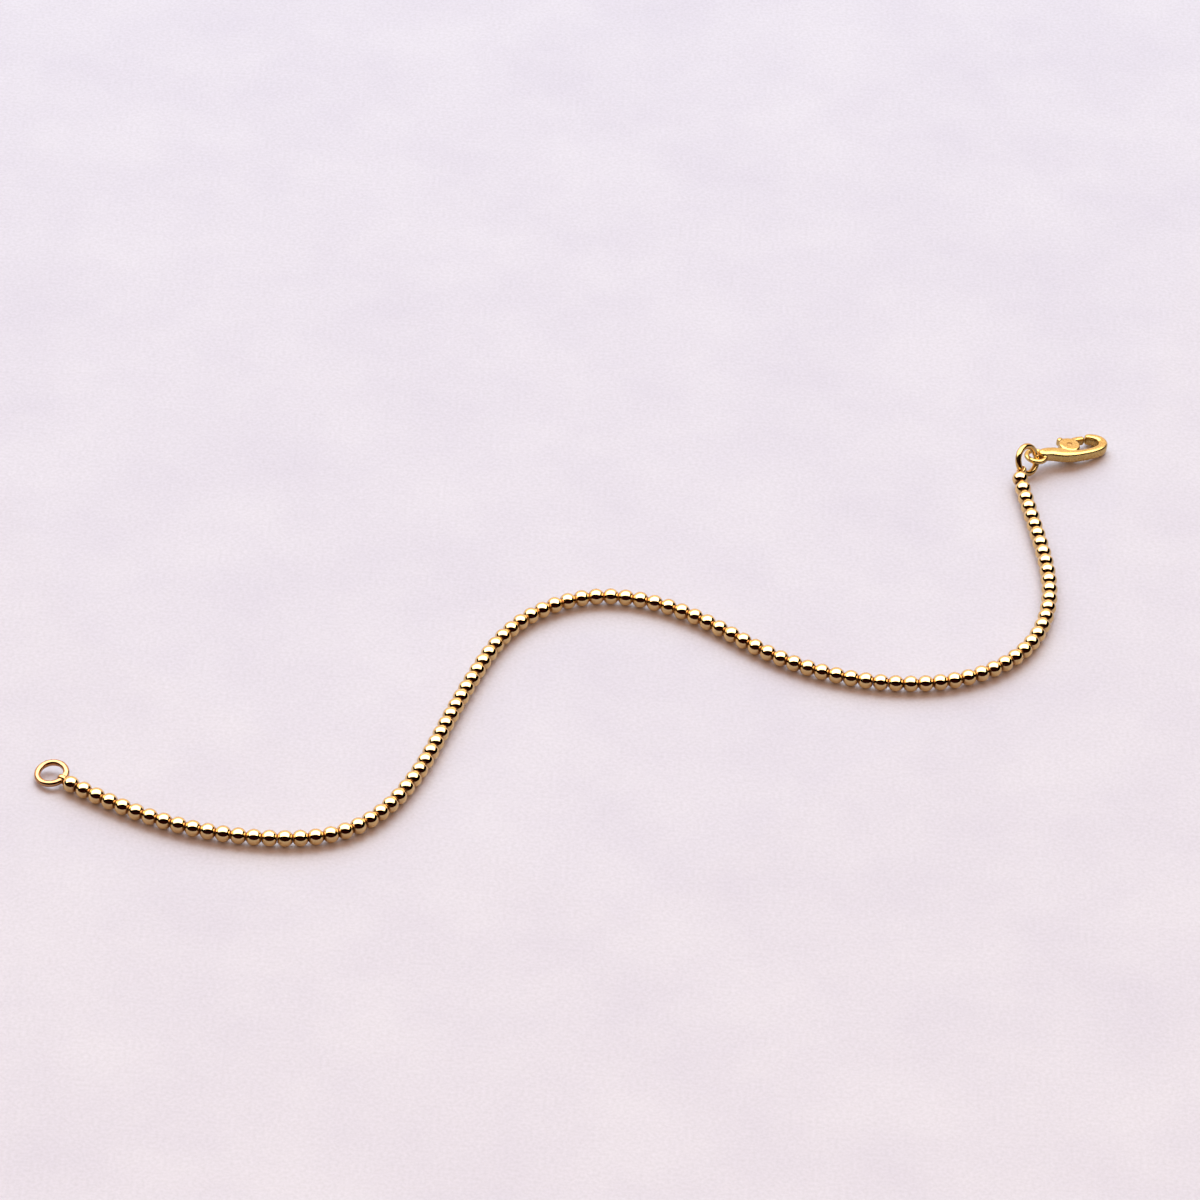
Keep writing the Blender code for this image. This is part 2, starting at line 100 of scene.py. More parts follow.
def unit(vector: np.ndarray) -> np.ndarray:
    """Scale vectors to length one.

    Args:
        vector: One vector, or an array with a vector in each row.

    Returns:
        The vectors divided by their own lengths.
    """
    array = np.asarray(vector, dtype=float)
    return array / np.linalg.norm(array, axis=-1, keepdims=True)


def heading_vector(heading: float, rise: float) -> np.ndarray:
    """Point along a heading and a rise.

    Args:
        heading: Degrees round from +X towards +Y.
        rise: Degrees up from the surface.

    Returns:
        The direction, of length one.
    """
    turn, lift = math.radians(heading), math.radians(rise)
    flat = math.cos(lift)
    return np.array([flat * math.cos(turn), flat * math.sin(turn), math.sin(lift)])


def linear_colour(code: str) -> tuple[float, float, float, float]:
    """Turn an sRGB hex colour into linear light, by the sRGB standard's curve.

    Args:
        code: Six hex digits after a hash sign.

    Returns:
        Red, green, blue and alpha for a shader socket.
    """
    shares = [int(code[start : start + 2], 16) / 255.0 for start in (1, 3, 5)]
    light = [s / 12.92 if s <= 0.04045 else ((s + 0.055) / 1.055) ** 2.4 for s in shares]
    return (*light, 1.0)


def full_turn(steps: int) -> np.ndarray:
    """Divide a full turn evenly, in radians, without its end."""
    return 2.0 * math.pi * np.arange(steps) / steps


def squared_off(share: np.ndarray, power: float) -> np.ndarray:
    """Raise the size of each share to a power, and keep its sign."""
    return np.sign(share) * np.abs(share) ** power


def natural_spline(points: np.ndarray, steps: int) -> np.ndarray:
    """Carry a smooth curve through points.

    The curve is a cubic between each two points, its slope and bend carry on
    through them, and it is straight at its ends.  The places along it are
    spaced by the straight distance between the points.

    Args:
        points: One point in each row.
        steps: How many places to give back.

    Returns:
        The places on the curve, one in each row.
    """
    points = np.asarray(points, dtype=float)
    knots = np.concatenate([[0.0], np.cumsum(np.linalg.norm(np.diff(points, axis=0), axis=1))])
    gaps = np.diff(knots)
    slopes = np.diff(points, axis=0) / gaps[:, None]
    middle = np.concatenate([[1.0], 2.0 * (gaps[:-1] + gaps[1:]), [1.0]])
    before = np.concatenate([gaps[:-1], [0.0]])
    after = np.concatenate([[0.0], gaps[1:]])
    system = np.diag(middle) + np.diag(before, -1) + np.diag(after, 1)
    right = np.zeros_like(points)
    right[1:-1] = 6.0 * np.diff(slopes, axis=0)
    bend = np.linalg.solve(system, right)
    places = np.linspace(0.0, knots[-1], steps)
    span = np.clip(np.searchsorted(knots, places, side="right") - 1, 0, len(points) - 2)
    width = gaps[span][:, None]
    to_next = (knots[span + 1] - places)[:, None]
    from_last = (places - knots[span])[:, None]
    curved = (bend[span] * to_next**3 + bend[span + 1] * from_last**3) / (6.0 * width)
    first = (points[span] / width - bend[span] * width / 6.0) * to_next
    second = (points[span + 1] / width - bend[span + 1] * width / 6.0) * from_last
    return curved + first + second


def grid_faces(rows: int, columns: int, row_loop: bool) -> np.ndarray:
    """Number the corners of a tube's faces.

    Args:
        rows: Rows of vertices along the tube.
        columns: Vertices in each row, the last one next to the first.
        row_loop: Whether the last row joins the first.

    Returns:
        Four vertex numbers for each face, with the step along the row first.
    """
    row = np.arange(rows if row_loop else rows - 1)[:, None]
    column = np.arange(columns)[None, :]
    next_row = (row + 1) % rows
    next_column = (column + 1) % columns
    corners = [
        row * columns + column,
        row * columns + next_column,
        next_row * columns + next_column,
        next_row * columns + column,
    ]
    return np.stack(corners, axis=-1).reshape(-1, 4)


def end_caps(rows: int, columns: int) -> list[np.ndarray]:
    """Number the corners of the two faces that close a tube.

    Args:
        rows: Rows of vertices along the tube.
        columns: Vertices in each row.

    Returns:
        The first row backwards, and the last row forwards.
    """
    numbers = np.arange(columns)
    return [numbers[::-1], numbers + (rows - 1) * columns]


def mesh_from(
    name: str, points: np.ndarray, quads: np.ndarray, caps: list[np.ndarray]
) -> bpy.types.Mesh:
    """Make a mesh from arrays.

    Args:
        name: The mesh's name.
        points: Vertices, one in each row, in the unit that the mesh is to have.
        quads: Four vertex numbers for each face.
        caps: Vertex numbers of each further face with more corners.

    Returns:
        The new mesh, shaded smooth.
    """
    mesh = bpy.data.meshes.new(name)
    loops = np.concatenate([quads.ravel(), *caps]).astype(np.int32)
    totals = np.concatenate([np.full(len(quads), 4), [len(cap) for cap in caps]]).astype(np.int32)
    starts = np.concatenate([[0], np.cumsum(totals)[:-1]]).astype(np.int32)
    mesh.vertices.add(len(points))
    mesh.vertices.foreach_set("co", np.asarray(points, dtype=np.float32).ravel())
    mesh.loops.add(len(loops))
    mesh.loops.foreach_set("vertex_index", loops)
    mesh.polygons.add(len(totals))
    mesh.polygons.foreach_set("loop_start", starts)
    mesh.update(calc_edges=True)
    mesh.validate()
    mesh.shade_smooth()
    return mesh


def new_object(name: str, mesh: bpy.types.Mesh) -> bpy.types.Object:
    """Put a mesh into the scene.

    Args:
        name: The object's name.
        mesh: Its mesh.

    Returns:
        The new object, at the origin.
    """
    thing = bpy.data.objects.new(name, mesh)
    bpy.context.scene.collection.objects.link(thing)
    return thing


def turn_and_place(
    thing: bpy.types.Object, right: np.ndarray, upward: np.ndarray, back: np.ndarray, place: np.ndarray
) -> None:
    """Turn a light or a camera, and put it in its place.

    Args:
        thing: The light or camera.
        right: The direction to its right.
        upward: The direction of its upper side.
        back: The direction behind it, away from what it faces.
        place: Where it stands, in metres.
    """
    matrix = np.eye(4)
    matrix[:3] = np.column_stack([right, upward, back, place])
    thing.matrix_world = matrix.T.tolist()


def tube_points(
    path: np.ndarray,
    along: np.ndarray,
    upright: np.ndarray,
    radius: np.ndarray,
    sides: int,
    spread: float = 1.0,
) -> np.ndarray:
    """Carry a circle, or an oval, along a path.

    Each vertex is the path's place plus the radius times the cosine of the
    turn along the side direction and its sine along the upright one.

    Args:
        path: Places along the middle line.
        along: Directions of the path there.
        upright: A direction that is nowhere along the path.
        radius: The circle's radius at each place.
        sides: Vertices round the circle.
        spread: How many times wider the oval is along the upright direction.

    Returns:
        Vertices, the circle of each place after that of the one before.
    """
    side = unit(np.cross(upright, along))
    rise = spread * np.cross(along, side)
    turn = full_turn(sides)
    ring = np.cos(turn)[None, :, None] * side[:, None, :] + np.sin(turn)[None, :, None] * rise[:, None, :]
    return (path[:, None, :] + radius[:, None, None] * ring).reshape(-1, 3)


def add_node(
    tree: bpy.types.NodeTree, kind: str, inputs: dict[str | int, object] | None = None, **settings: object
) -> bpy.types.Node:
    """Add a shader node.

    Args:
        tree: The node tree.
        kind: The node's type.
        inputs: Socket names or numbers, each with a value or an output socket to link.
        **settings: The node's own settings.

    Returns:
        The new node.
    """
    node = tree.nodes.new(kind)
    for name, value in settings.items():
        setattr(node, name, value)
    for name, value in (inputs or {}).items():
        if isinstance(value, bpy.types.NodeSocket):
            tree.links.new(value, node.inputs[name])
        else:
            node.inputs[name].default_value = value
    return node


@dataclass(frozen=True)
class GoldFinish:
    """A gold surface: its colour, polish and fine marks.

    The colour deepens in broad patches.  The fine marks tilt the surface and
    shift its roughness up and down by roughness_change.  Lengths are in
    millimetres.
    """

    name: str
    slot: str
    colour: str
    deep_colour: str
    roughness: float
    roughness_change: float
    patch_size: float
    mark_size: float
    mark_depth: float
    grain: Grain = Grain.TUMBLED
    mark_stretch: float = 1.0
    notch_shade_colour: str = ""
    edge_roughness: float = 0.35
    patch_detail: float = 3.0
    mark_detail: float = 4.0
    noise_low: float = 0.3
    noise_high: float = 0.7

    def pattern_place(self, tree: bpy.types.NodeTree) -> bpy.types.NodeSocket:
        """Choose the coordinates that the marks follow.

        Args:
            tree: The material's nodes.

        Returns:
            A vector in metres, along the wire for drawn metal.
        """
        if self.grain is Grain.DRAWN:
            return add_node(tree, "ShaderNodeUVMap", uv_map=WIRE_MAP).outputs["UV"]
        return add_node(tree, "ShaderNodeTexCoord").outputs["Object"]

    def material(self) -> bpy.types.Material:
        """Build the finish as a material.

        The two colours mix in broad soft patches.  The fine marks are round
        dents, or short lines along a drawn wire.  Where the mesh's painted shade
        layer says so, the colour is painted darker and browner, as painted shade
        between the beads, and the surface is duller.

        Returns:
            The new material.
        """
        material = bpy.data.materials.new(self.name)
        material.use_nodes = True
        tree = material.node_tree
        shader = tree.nodes["Principled BSDF"]
        shader.inputs["Metallic"].default_value = 1.0
        place = self.pattern_place(tree)
        scale = {"Scale": 1.0 / (self.patch_size * MM), "Detail": self.patch_detail}
        patches = add_node(tree, "ShaderNodeTexNoise", {"Vector": place, **scale}).outputs["Fac"]
        pair = {COLOUR_A: linear_colour(self.colour), COLOUR_B: linear_colour(self.deep_colour)}
        tint = add_node(tree, "ShaderNodeMix", {"Factor": patches, **pair}, data_type="RGBA")
        colour = tint.outputs[COLOUR_OUT]
        stretch = {"Vector": place, "Scale": (1.0, self.mark_stretch, 1.0)}
        place = add_node(tree, "ShaderNodeMapping", stretch).outputs["Vector"]
        scale = {"Scale": 1.0 / (self.mark_size * MM), "Detail": self.mark_detail}
        height = add_node(tree, "ShaderNodeTexNoise", {"Vector": place, **scale}).outputs["Fac"]
        span = {
            "From Min": self.noise_low,
            "From Max": self.noise_high,
            "To Min": self.roughness - self.roughness_change,
            "To Max": self.roughness + self.roughness_change,
        }
        roughness = add_node(tree, "ShaderNodeMapRange", {"Value": height, **span}).outputs["Result"]
        # Painted shade: darker, browner colour where the layer marks the notches between the beads, with
        # more roughness there
        if self.notch_shade_colour:
            notch_shade = add_node(tree, "ShaderNodeAttribute", attribute_name=NOTCH_SHADE_LAYER).outputs["Fac"]
            pair = {COLOUR_A: colour, COLOUR_B: linear_colour(self.notch_shade_colour)}
            notch_shaded = add_node(tree, "ShaderNodeMix", {"Factor": notch_shade, **pair}, data_type="RGBA")
            pair = {VALUE_A: roughness, VALUE_B: self.edge_roughness}
            dull = add_node(tree, "ShaderNodeMix", {"Factor": notch_shade, **pair})
            colour, roughness = notch_shaded.outputs[COLOUR_OUT], dull.outputs[VALUE_OUT]
        tree.links.new(colour, shader.inputs["Base Color"])
        tree.links.new(roughness, shader.inputs["Roughness"])
        marks = {"Height": height, "Strength": 1.0, "Distance": self.mark_depth * MM}
        bump = add_node(tree, "ShaderNodeBump", marks)
        tree.links.new(bump.outputs["Normal"], shader.inputs["Normal"])
        return material

    def dress(self, piece: bpy.types.Object) -> None:
        """Give a piece this finish.

        Args:
            piece: The piece.
        """
        piece.data.materials.clear()
        piece.data.materials.append(self.material())


# Gold-plated brass beads, barrel-polished: close to a mirror, so the eye sees
# white caps and black bands with crisp edges.  Towards the drilled ends the
# colour is painted darker and browner, as painted shade in the notches between
# the beads, and the surface is rougher there.  The ripple of real plating is
# finer, and is drawn at 0.11 mm, about a pixel of the photograph, so that it
# shows at all.
BEAD_FINISH = GoldFinish(
    name="polished_bead_gold",
    slot="polished_bead_gold",
    colour="#E4C48C",
    deep_colour="#DAB478",
    roughness=0.075,
    roughness_change=0.025,
    patch_size=1.4,
    mark_size=0.11,
    mark_depth=0.0006,
    # Painted shade: the darker brown of the notches between the beads, at the drilled ends
    notch_shade_colour="#A8764E",
)

# Gold-plated brass wire as it comes from the draw plate: deeper and duller
# than the beads, so the eyes at the chain's ends read as soft warm bands.  Its
# marks are round, because the wire is too thin to show which way they run, and
# are drawn coarser than real ones, at 0.06 mm.
CORE_FINISH = GoldFinish(
    name="core_wire_gold",
    slot="polished_bead_gold",
    colour="#D2AE72",
    deep_colour="#BE945A",
    roughness=0.16,
    roughness_change=0.04,
    patch_size=0.8,
    mark_size=0.06,
    mark_depth=0.0005,
)

# Gold-plated brass wire, drawn and polished: rosier than the beads, with
# bright lines round the ring.  Its drawing marks are 0.05 mm long and a sixth
# of that wide, too fine to see one by one, and soften the lines' edges.
RING_FINISH = GoldFinish(
    name="drawn_wire_gold",
    slot="drawn_wire_gold",
    colour="#CB9C70",
    deep_colour="#B28056",
    roughness=0.09,
    roughness_change=0.03,
    patch_size=1.1,
    mark_size=0.05,
    mark_depth=0.0008,
    grain=Grain.DRAWN,
    mark_stretch=6.0,
)

# The same kind of wire with less polish and a yellower plating: softer and
# broader lights than the end ring's.  Its marks are those of the end ring.
JUMP_FINISH = replace(
    RING_FINISH,
    name="jump_ring_gold",
    slot="jump_ring_gold",
    colour="#CFA869",
    deep_colour="#C49E5E",
    roughness=0.15,
    roughness_change=0.035,
)

# Gold-plated brass casting, tumbled and not polished by hand: a satin glow in
# place of clear reflections, a little uneven.  The tumbling dents are drawn at
# 0.2 mm, coarser than real ones, so that they show.
CLASP_FINISH = GoldFinish(
    name="cast_clasp_gold",
    slot="cast_clasp_gold",
    colour="#D4B476",
    deep_colour="#B8954F",
    roughness=0.26,
    roughness_change=0.09,
    patch_size=1.1,
    mark_size=0.2,
    mark_depth=0.003,
)

# The lever is the same casting, worn by the thumb: slightly deeper and duller
# than the clasp's body.  Its dents are drawn at 0.16 mm, coarser than real
# ones, so that they show.
LEVER_FINISH = GoldFinish(
    name="lever_gold",
    slot="lever_gold",
    colour="#D0AE70",
    deep_colour="#B08C4C",
    roughness=0.28,
    roughness_change=0.09,
    patch_size=0.9,
    mark_size=0.16,
    mark_depth=0.0028,
)

# Brass rivet head, pressed and dressed flat: a small spot between satin and
# polish.  Its marks are 0.03 mm, too fine to see one by one.
RIVET_FINISH = GoldFinish(
    name="rivet_gold",
    slot="rivet_gold",
    colour="#CFA870",
    deep_colour="#B88E56",
    roughness=0.22,
    roughness_change=0.06,
    patch_size=0.3,
    mark_size=0.03,
    mark_depth=0.0009,
)


def stand_in(piece: bpy.types.Object, finish: GoldFinish, node: str, body: str) -> None:
    """Dress a finished piece, let it stand for a solid, and report it.

    Args:
        piece: The piece.
        finish: What it is dressed in.
        node: The solid that it stands for.
        body: The body that it moves with.
    """
    finish.dress(piece)
    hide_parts(node)
    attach(piece, body)
    log.info("%s: %d faces", piece.name, len(piece.data.polygons))


@dataclass
class Route:
    """The chain's route on the surface, and the beads' places on it.

    The points are listed ones, from the end ring's bead to the jump ring's
    bead.  The lifts raise the last two beads towards the jump ring, and the
    headings and rises, in degrees, say which way the chain's ends point.
    """

    points: tuple[tuple[float, float], ...] = (
        (-56.2, -38.6),
        (-46.9, -43.3),
        (-35.8, -45.5),
        (-25.6, -43.3),
        (-19.8, -35.7),
        (-16.2, -24.8),
        (-13.2, -15.1),
        (-8.7, -5.9),
        (-0.5, -0.6),
        (10.8, -3.1),
        (19.4, -8.9),
        (28.5, -12.3),
        (40.5, -11.4),
        (47.6, -6.0),
        (50.9, 4.2),
        (49.6, 16.1),
        (47.5, 26.9),
    )
    curve_steps: int = 3000
    bead_count: int = 102
    bead_diameter: float = 1.86
    bead_hole: float = 0.84
    bead_gap: float = 0.021
    last_lift: float = 0.24
    before_last_lift: float = 0.08
    first_heading: float = 142.0
    first_rise: float = -2.0
    last_heading: float = 84.2
    last_rise: float = 10.0
    centres: np.ndarray = field(init=False)
    axes: np.ndarray = field(init=False)
    shift: np.ndarray = field(init=False)

    def __post_init__(self) -> None:
        """Work out the beads' centres and axes in the part's own frame."""
        curve = natural_spline(np.array(self.points), self.curve_steps)
        lengths = np.concatenate([[0.0], np.cumsum(np.linalg.norm(np.diff(curve, axis=0), axis=1))])
        wanted = np.arange(self.bead_count) * (self.bead_length + self.bead_gap)
        flat = np.stack([np.interp(wanted, lengths, curve[:, axis]) for axis in (0, 1)], axis=1)
        beyond = np.maximum(wanted - lengths[-1], 0.0)[:, None]
        flat += beyond * unit(curve[-1] - curve[-2])
        radius = self.bead_diameter / 2.0
        rise = np.full(self.bead_count, radius)
        rise[-1] += self.last_lift
        rise[-2] += self.before_last_lift
        centres = np.column_stack([flat, rise])
        axes = unit(np.gradient(centres, axis=0))
        axes[0] = -heading_vector(self.first_heading, self.first_rise)
        axes[-1] = heading_vector(self.last_heading, self.last_rise)
        low, high = (np.array(corner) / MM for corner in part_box("bead_chain"))
        self.shift = np.array(
            [high[0] - flat[:, 0].max() - radius, low[1] - flat[:, 1].min() + radius, low[2]]
        )
        self.centres = centres + self.shift
        self.axes = axes

    @property
    def bead_length(self) -> float:
        """Length of a drilled bead: the chord that its hole leaves of the ball."""
        return math.sqrt(self.bead_diameter**2 - self.bead_hole**2)

    def end(self, which: ChainEnd) -> tuple[np.ndarray, np.ndarray]:
        """Find the chain's end face.

        Args:
            which: The end.

        Returns:
            The middle of the last bead's drilled face and the way out of it.
        """
        bead, way = (0, -1.0) if which is ChainEnd.FIRST else (-1, 1.0)
        out = way * self.axes[bead]
        return self.centres[bead] + out * self.bead_length / 2.0, out

    def ring_seat(self, which: ChainEnd) -> tuple[np.ndarray, np.ndarray]:
        """Work out how a ring sits in the eye at the chain's end.

        Args:
            which: The chain's end.

        Returns:
            The ring's normal, and the direction from its centre to the eye.
        """
        _, out = self.end(which)
        if which is ChainEnd.FIRST:
            side = unit(np.cross(out, UP))
            roll = math.radians(END_RING_ROLL)
            normal = math.cos(roll) * np.cross(side, out) - math.sin(roll) * side
        else:
            normal = heading_vector(JUMP_RING_TURN, 90.0 - JUMP_RING_TILT)
        return normal, -out


@dataclass
class BeadString:
    """The polished beads, and the core wire with its two eyes.

    The eyes are flattened to a strap, strap_spread times as wide as it is
    thick.  The beads' colour is painted darker from the hole outwards, as
    painted shade in the notches between the beads, and this painted shade has
    gone at notch_shade_end times notch_shade_reach from the hole's wall.
    """

    route: Route
    arc_steps: int = 17
    sides: int = 28
    lip: float = 0.04
    lip_flare: float = 0.3
    core_wire: float = 0.25
    core_sides: int = 10
    eye_steps: int = 40
    eye_clearance: float = 0.12
    eye_closeness: float = 0.05
    strap_thickness: float = 0.2
    strap_spread: float = 2.3
    strap_sides: int = 20
    notch_shade_reach: float = 0.2
    notch_shade_end: float = 1.2

    def bead_profile(self) -> np.ndarray:
        """Trace a drilled bead's half outline.

        It is the ball's arc from lip to lip, and back through the bore: place
        along the axis is minus the radius times the cosine of the angle, and
        distance from the axis is the radius times its sine.

        Returns:
            Rows of place along the axis and distance from it, a closed loop.
        """
        radius = self.route.bead_diameter / 2.0
        bore = self.route.bead_hole / 2.0
        half = self.route.bead_length / 2.0
        edge = math.asin((bore + self.lip) / radius)
        angle = np.linspace(edge, math.pi - edge, self.arc_steps)
        arc = np.stack([-radius * np.cos(angle), radius * np.sin(angle)], axis=1)
        mouth = bore + self.lip * self.lip_flare
        back = np.array(
            [[half, mouth], [half - self.lip, bore], [0.0, bore], [self.lip - half, bore], [-half, mouth]]
        )
        return np.concatenate([arc, back])

    def build_beads(self) -> bpy.types.Object:
        """Build every bead as one turned surface on its own centre and axis.

        Each vertex is the bead's centre, plus the outline's place along the
        axis, plus the outline's distance from it round the axis.

        Returns:
            All the beads in one piece, with the layer that says where their
            colour is painted darker, as shade in the notches between the beads.
        """
        profile = self.bead_profile()
        axes = self.route.axes
        side = unit(np.cross(UP, axes))
        rise = np.cross(axes, side)
        turn = full_turn(self.sides)
        round_part = (
            np.cos(turn)[None, :, None] * side[:, None, :] + np.sin(turn)[None, :, None] * rise[:, None, :]
        )
        points = (
            self.route.centres[:, None, None, :]
            + profile[None, :, None, :1] * axes[:, None, None, :]
            + profile[None, :, None, 1:] * round_part[:, None, :, :]
        )
        one = grid_faces(len(profile), self.sides, row_loop=True)
        each = len(profile) * self.sides
        offsets = each * np.arange(self.route.bead_count)[:, None, None]
        quads = (one[None, :, ::-1] + offsets).reshape(-1, 4)
        mesh = mesh_from("beads", points.reshape(-1, 3) * MM, quads, [])
        # Painted shade for the notches between the beads: strongest at the hole's mouth, fading outwards
        from_hole = profile[:, 1] - self.route.bead_hole / 2.0
        notch_shade = np.clip(self.notch_shade_end - from_hole / self.notch_shade_reach, 0.0, 1.0)
        layer = mesh.attributes.new(NOTCH_SHADE_LAYER, "FLOAT", "POINT")
        layer.data.foreach_set("value", np.tile(np.repeat(notch_shade, self.sides), self.route.bead_count))
        return new_object("beads", mesh)

    def build_core(self) -> bpy.types.Object:
        """Build the core wire, a round tube through the beads' centres.

        Returns:
            The wire, from the first bead's end face to the last one's.
        """
        first, _ = self.route.end(ChainEnd.FIRST)
        last, _ = self.route.end(ChainEnd.LAST)
        path = np.concatenate([[first], self.route.centres, [last]])
        along = unit(np.gradient(path, axis=0))
        radius = np.full(len(path), self.core_wire / 2.0)
        points = tube_points(path, along, UP, radius, self.core_sides)
        quads = grid_faces(len(path), self.core_sides, row_loop=False)
        mesh = mesh_from("core_wire", points * MM, quads, end_caps(len(path), self.core_sides))
        return new_object("core_wire", mesh)

    def build_eye(self, name: str, which: ChainEnd, ring_normal: np.ndarray) -> bpy.types.Object:
        """Build the core wire's eye round the ring's wire.

        The middle line is a circle about the ring's wire where that passes
        the chain's end, and a flat oval is carried round it.

        Args:
            name: The piece's name.
            which: The chain's end.
            ring_normal: The normal of the ring that the eye holds.

        Returns:
            The eye.
        """
        face, out = self.route.end(which)
        middle = face + out * (RING_WIRE / 2.0 + self.eye_clearance)
        inward = unit(out - np.dot(out, ring_normal) * ring_normal)
        axis = unit(np.cross(ring_normal, inward))
        reach = RING_WIRE / 2.0 + self.eye_closeness + self.strap_thickness / 2.0
        across = np.cross(axis, -out)
        turn = full_turn(self.eye_steps)[:, None]
        path = middle + reach * (np.cos(turn) * -out + np.sin(turn) * across)
        along = -np.sin(turn) * -out + np.cos(turn) * across
        radius = np.full(self.eye_steps, self.strap_thickness / 2.0)
        points = tube_points(path, along, axis, radius, self.strap_sides, self.strap_spread)
        quads = grid_faces(self.eye_steps, self.strap_sides, row_loop=True)
        return new_object(name, mesh_from(name, points * MM, quads, []))

    def build(self) -> None:
        """Build and dress the beads, the core wire and its two eyes."""
        first_normal, _ = self.route.ring_seat(ChainEnd.FIRST)
        last_normal, _ = self.route.ring_seat(ChainEnd.LAST)
        pieces = (
            (self.build_beads(), BEAD_FINISH),
            (self.build_core(), CORE_FINISH),
            (self.build_eye("first_eye", ChainEnd.FIRST, first_normal), CORE_FINISH),
            (self.build_eye("last_eye", ChainEnd.LAST, last_normal), CORE_FINISH),
        )
        for piece, finish in pieces:
            stand_in(piece, finish, "bead_chain", "bracelet")


@dataclass
class WireRing:
    """A round wire bent into a ring, its ends meeting in a butt joint.

    The wire's top is pressed flat by mark_depth at the joint, and mark_reach
    is how far round, in degrees, the press reaches on each side.
    """

    name: str
    node: str
    normal: np.ndarray
    to_eye: np.ndarray
    finish: GoldFinish
    joint_turn: float
    wire: float = RING_WIRE
    mean_diameter: float = 3.18
    joint_gap: float = 0.08
    joint_step: float = 0.07
    end_round: float = 0.05
    steps: int = 120
    sides: int = 24
    mark_reach: float = 12.0
    mark_depth: float = 0.09

    def wire_points(self) -> np.ndarray:
        """Carry the wire's circle round the ring and close its two ends.

        The middle line is the ring's centre plus the mean radius at each
        turn, with the ends a step apart along the normal.  The press falls
        off from the joint as e to the power of minus the fourth power of the
        angle over the reach, and what would lie higher than the pressed top
        is brought down to it.

        Returns:
            Rows of vertices round the wire, with a smaller row at each end.
        """
        low, high = (np.array(corner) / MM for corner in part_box(self.node))
        centre = (low + high) / 2.0
        normal = unit(self.normal)
        start_way = unit(self.to_eye - np.dot(self.to_eye, normal) * normal)
        across = np.cross(normal, start_way)
        joint = math.radians(self.joint_turn)
        start = math.cos(joint) * start_way + math.sin(joint) * across
        side = np.cross(normal, start)
        half_gap = self.joint_gap / self.mean_diameter
        share = np.linspace(0.0, 1.0, self.steps)
        turn = half_gap + share * 2.0 * (math.pi - half_gap)
        outward = np.cos(turn)[:, None] * start + np.sin(turn)[:, None] * side
        step = ((share - 0.5) * self.joint_step)[:, None]
        path = centre + outward * self.mean_diameter / 2.0 + normal * step
        radius = self.wire / 2.0
        phase = full_turn(self.sides)
        from_joint = np.degrees(np.minimum(turn, 2.0 * math.pi - turn))
        press = self.mark_depth * np.exp(-((from_joint / self.mark_reach) ** 4))
        rise = np.minimum(radius * np.sin(phase)[None, :], radius - press[:, None])
        spread = np.broadcast_to(radius * np.cos(phase), rise.shape)
        points = path[:, None, :] + spread[:, :, None] * outward[:, None, :] + rise[:, :, None] * normal
        ends = []
        for row, way in ((0, -1.0), (-1, 1.0)):
            middle = points[row].mean(axis=0)
            along = way * np.cross(normal, outward[row])
            inner = middle + (points[row] - middle) * (1.0 - 2.0 * self.end_round / self.wire)
            ends.append((inner + along * self.end_round / 2.0)[None])
        return np.concatenate([ends[0], points, ends[1]])

    def mark_wire(self, mesh: bpy.types.Mesh) -> None:
        """Lay a map of metres along and round the wire over the ring's faces.

        Args:
            mesh: The ring's mesh, its vertices row after row round the wire.
        """
        loops = np.empty(len(mesh.loops), dtype=np.int32)
        mesh.loops.foreach_get("vertex_index", loops)
        row, column = np.divmod(loops, self.sides)
        step = math.pi * self.mean_diameter / self.steps
        along = row * step * MM
        angle = 2.0 * math.pi * column / self.sides
        around = np.abs(angle - math.pi) * self.wire / 2.0 * MM
        layer = mesh.uv_layers.new(name=WIRE_MAP)
        layer.data.foreach_set("uv", np.stack([along, around], axis=1).astype(np.float32).ravel())

    def build(self) -> None:
        """Build, mark and dress the ring."""
        points = self.wire_points()
        quads = grid_faces(len(points), self.sides, row_loop=False)
        caps = end_caps(len(points), self.sides)
        mesh = mesh_from(self.name, points.reshape(-1, 3) * MM, quads, caps)
        self.mark_wire(mesh)
        stand_in(new_object(self.name, mesh), self.finish, self.node, "bracelet")


